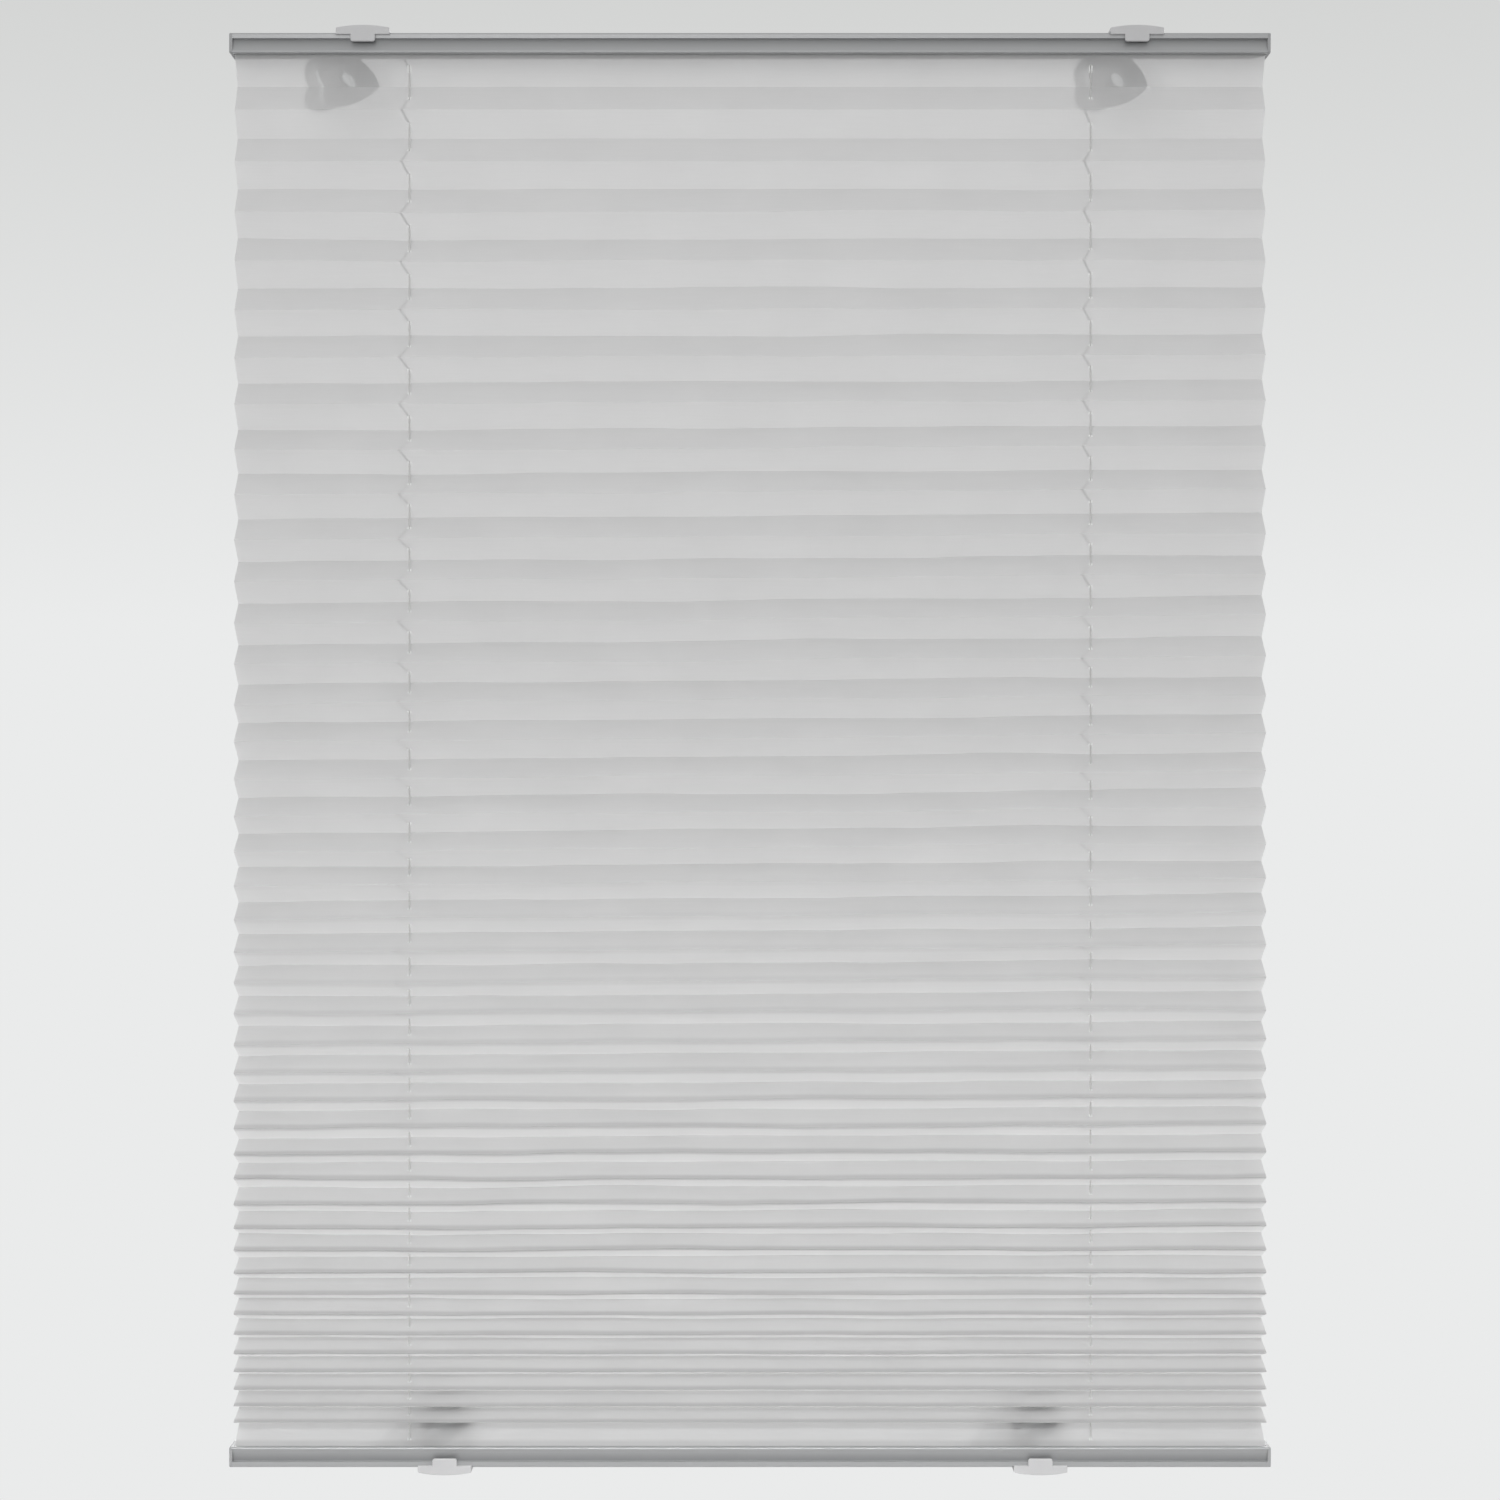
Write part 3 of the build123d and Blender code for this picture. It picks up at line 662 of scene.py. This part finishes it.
def cordPiece(name, points):
    route = bpy.data.curves.new(name, "CURVE")
    route.dimensions = "3D"
    route.bevel_depth = cordSizes["radius"]
    route.bevel_resolution = 3
    route.resolution_u = 8
    route.use_fill_caps = True
    line = route.splines.new("NURBS")
    line.points.add(len(points) - 1)
    for point, place in zip(line.points, points):
        point.co = (*place, 1.0)
    line.order_u = min(3, len(points))
    line.use_endpoint_u = True
    routeObject = bpy.data.objects.new(name + "Route", route)
    scene.collection.objects.link(routeObject)
    made = routeObject.evaluated_get(bpy.context.evaluated_depsgraph_get())
    mesh = bpy.data.meshes.new_from_object(made)
    bpy.data.objects.remove(routeObject)
    mesh.materials.clear()
    mesh.materials.append(braidedPolyester)
    mesh.polygons.foreach_set("use_smooth", [True] * len(mesh.polygons))
    piece = bpy.data.objects.new(name, mesh)
    scene.collection.objects.link(piece)
    return piece


for side, sideName in ((-1, "left"), (1, "right")):
    for up, slide in slides.items():
        label = "cord" + sideName.title() + slide["end"].title()
        holderX = cordSizes["holders"][side, up]
        clothX = side * cordSizes["place"]
        toCloth = math.copysign(cordSizes["bend"], clothX - holderX)
        endZ, railZ, runZ, exitZ = (up * height for height in (
            cordSizes["end"], cordSizes["rail"], cordSizes["run"], cordSizes["exits"][up]))
        bend = up * cordSizes["bend"]
        stub = cordPiece(label + "Stub", [(holderX, midY, endZ), (holderX, midY, railZ)])
        inRail = cordPiece(label + "InRail", [
            (holderX, midY, railZ), (holderX, midY, runZ + bend), (holderX, midY, runZ),
            (holderX + toCloth, midY, runZ), (clothX - toCloth, midY, runZ),
            (clothX, midY, runZ), (clothX, midY, runZ - bend), (clothX, midY, exitZ)])
        inCloth = cordPiece(label + "InCloth", [(clothX, midY, exitZ), (clothX, midY, 0.0)])
        for piece in (stub, inRail, inCloth):
            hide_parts("cord_" + sideName)
        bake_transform(stub)
        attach(inRail, slide["rail"])
        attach(inCloth, "fixings")
        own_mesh(inCloth)
print("cords made")

# Pale studio: soft light from above, a low sun and a lamp behind the cloth, and two lamps in front
studio = {
    "floorLevel": -1.0,
    "floorMiddle": -0.9,
    "floorRadius": 2.2,
    "floorColour": "#c8c8c8",
    "background": "#eaebeb",
    "backgroundTop": "#d2d3d2",
    "topFrom": 0.05,  # heights of a sightline between which the background darkens
    "topFull": 0.3,
    "roomLight": 0.10,
    "skyLight": 0.97,
    "windowPower": 1.5,
    "windowAzimuth": 44.0,
    "windowElevation": 10.0,
    "windowAngle": 3.0,
    "windowDistance": 4.0,
    "lamps": {
        "frontLight": {"power": 12.0, "size": (1.2, 0.8), "place": (-0.3, -2.15, 0.6),
                       "aim": (0.0, 0.0, 0.0), "spread": 180.0},
        "lowLight": {"power": 1.15, "size": (1.4, 0.2), "place": (0.0, -1.65, 0.40),
                     "aim": (0.0, 0.0, -0.73), "spread": 40.0},
        "lowWindowLight": {"power": 2.2, "size": (1.6, 0.3), "place": (0.0, 1.5, 0.50),
                           "aim": (0.0, 0.0, -0.72), "spread": 40.0},
    },
}


def makeStudio():
    shape = bmesh.new()
    bmesh.ops.create_circle(shape, cap_ends=True, segments=96, radius=studio["floorRadius"])
    floorPlace = (0, studio["floorMiddle"], studio["floorLevel"])
    bmesh.ops.translate(shape, verts=shape.verts, vec=floorPlace)
    floorMesh = bpy.data.meshes.new("floor")
    shape.to_mesh(floorMesh)
    shape.free()
    floorMaterial, tree = newMaterial("paleFloor")
    place = addNode(tree, "ShaderNodeTexCoord").outputs["Object"]
    mottle = addNode(tree, "ShaderNodeTexNoise", {"Vector": place, "Scale": 30.0})
    rough = addNode(tree, "ShaderNodeMapRange", {
        "Value": mottle.outputs["Fac"], "To Min": 0.7, "To Max": 0.9})
    finishMaterial(tree, addNode(tree, "ShaderNodeBsdfPrincipled", {
        "Base Color": hexColour(studio["floorColour"]), "Roughness": rough.outputs[0]}))
    floorMesh.materials.append(floorMaterial)
    floor = bpy.data.objects.new("floor", floorMesh)
    scene.collection.objects.link(floor)

    world = bpy.data.worlds.new("studio")
    world.use_nodes = True
    tree = world.node_tree
    tree.nodes.clear()
    rays = addNode(tree, "ShaderNodeLightPath").outputs
    seen = addNode(tree, "ShaderNodeMath", {
        0: rays["Is Camera Ray"], 1: rays["Is Glossy Ray"]}, operation="MAXIMUM")
    seenThrough = addNode(tree, "ShaderNodeMath", {
        0: seen.outputs[0], 1: rays["Is Transmission Ray"]}, operation="MAXIMUM")
    notScattered = addNode(tree, "ShaderNodeMath", {
        0: seenThrough.outputs[0], 1: rays["Is Diffuse Ray"]}, operation="SUBTRACT", use_clamp=True)
    sightline = addNode(tree, "ShaderNodeTexCoord").outputs["Generated"]
    way = addNode(tree, "ShaderNodeSeparateXYZ", {0: sightline})
    above = addNode(tree, "ShaderNodeMapRange", {
        "Value": way.outputs["Z"], "From Max": 0.5, "To Max": studio["skyLight"]})
    inFront = addNode(tree, "ShaderNodeMapRange", {
        "Value": way.outputs["Y"], "From Max": -0.5, "To Max": studio["roomLight"]})
    level = addNode(tree, "ShaderNodeMath", {
        0: above.outputs[0], 1: inFront.outputs[0]}, operation="ADD")
    room = addNode(tree, "ShaderNodeBackground", {
        "Color": (1, 1, 1, 1), "Strength": level.outputs[0]})
    upward = addNode(tree, "ShaderNodeMapRange", {
        "Value": way.outputs["Z"], "From Min": studio["topFrom"], "From Max": studio["topFull"]})
    paper = addNode(tree, "ShaderNodeMix", {
        0: upward.outputs[0], 6: hexColour(studio["background"]),
        7: hexColour(studio["backgroundTop"])}, data_type="RGBA")
    backdrop = addNode(tree, "ShaderNodeBackground", {"Color": paper.outputs[2], "Strength": 1.0})
    both = addNode(tree, "ShaderNodeMixShader", {
        0: notScattered.outputs[0], 1: room.outputs[0], 2: backdrop.outputs[0]})
    addNode(tree, "ShaderNodeOutputWorld", {"Surface": both.outputs[0]})
    scene.world = world

    azimuth = math.radians(studio["windowAzimuth"])
    elevation = math.radians(studio["windowElevation"])
    towardsWindow = Vector((math.sin(azimuth) * math.cos(elevation),
                            math.cos(azimuth) * math.cos(elevation), math.sin(elevation)))
    window = bpy.data.lights.new("windowLight", "SUN")
    window.energy = studio["windowPower"]
    window.angle = math.radians(studio["windowAngle"])
    windowObject = bpy.data.objects.new("windowLight", window)
    windowObject.rotation_euler = towardsWindow.to_track_quat("Z", "Y").to_euler()
    windowObject.location = towardsWindow * studio["windowDistance"]
    scene.collection.objects.link(windowObject)

    for name, lamp in studio["lamps"].items():
        light = bpy.data.lights.new(name, "AREA")
        light.energy = lamp["power"]
        light.shape = "RECTANGLE"
        light.size, light.size_y = lamp["size"]
        light.spread = math.radians(lamp["spread"])
        lightObject = bpy.data.objects.new(name, light)
        lightObject.location = lamp["place"]
        awayFromAim = Vector(lamp["place"]) - Vector(lamp["aim"])
        lightObject.rotation_euler = awayFromAim.to_track_quat("Z", "Y").to_euler()
        lightObject.visible_camera = False
        scene.collection.objects.link(lightObject)


photoView = {
    "sensor": 36.0,
    "distance": 1.70,  # from the camera to the cloth's middle plane
    "halfWidth": 0.50655,  # half of what the frame shows at the cloth
}


def makeCamera():
    camera = bpy.data.cameras.new("photoCamera")
    camera.sensor_fit = "HORIZONTAL"
    camera.sensor_width = photoView["sensor"]
    camera.lens = photoView["sensor"] / 2 * photoView["distance"] / photoView["halfWidth"]
    camera.clip_start = 0.01
    camera.clip_end = 50.0
    cameraObject = bpy.data.objects.new("photoCamera", camera)
    cameraObject.location = (0.0, midY - photoView["distance"], 0.0)
    cameraObject.rotation_euler = (math.pi / 2, 0.0, 0.0)
    scene.collection.objects.link(cameraObject)
    scene.camera = cameraObject


makeStudio()
makeCamera()
scene.view_settings.view_transform = "Standard"
print("studio and camera made")
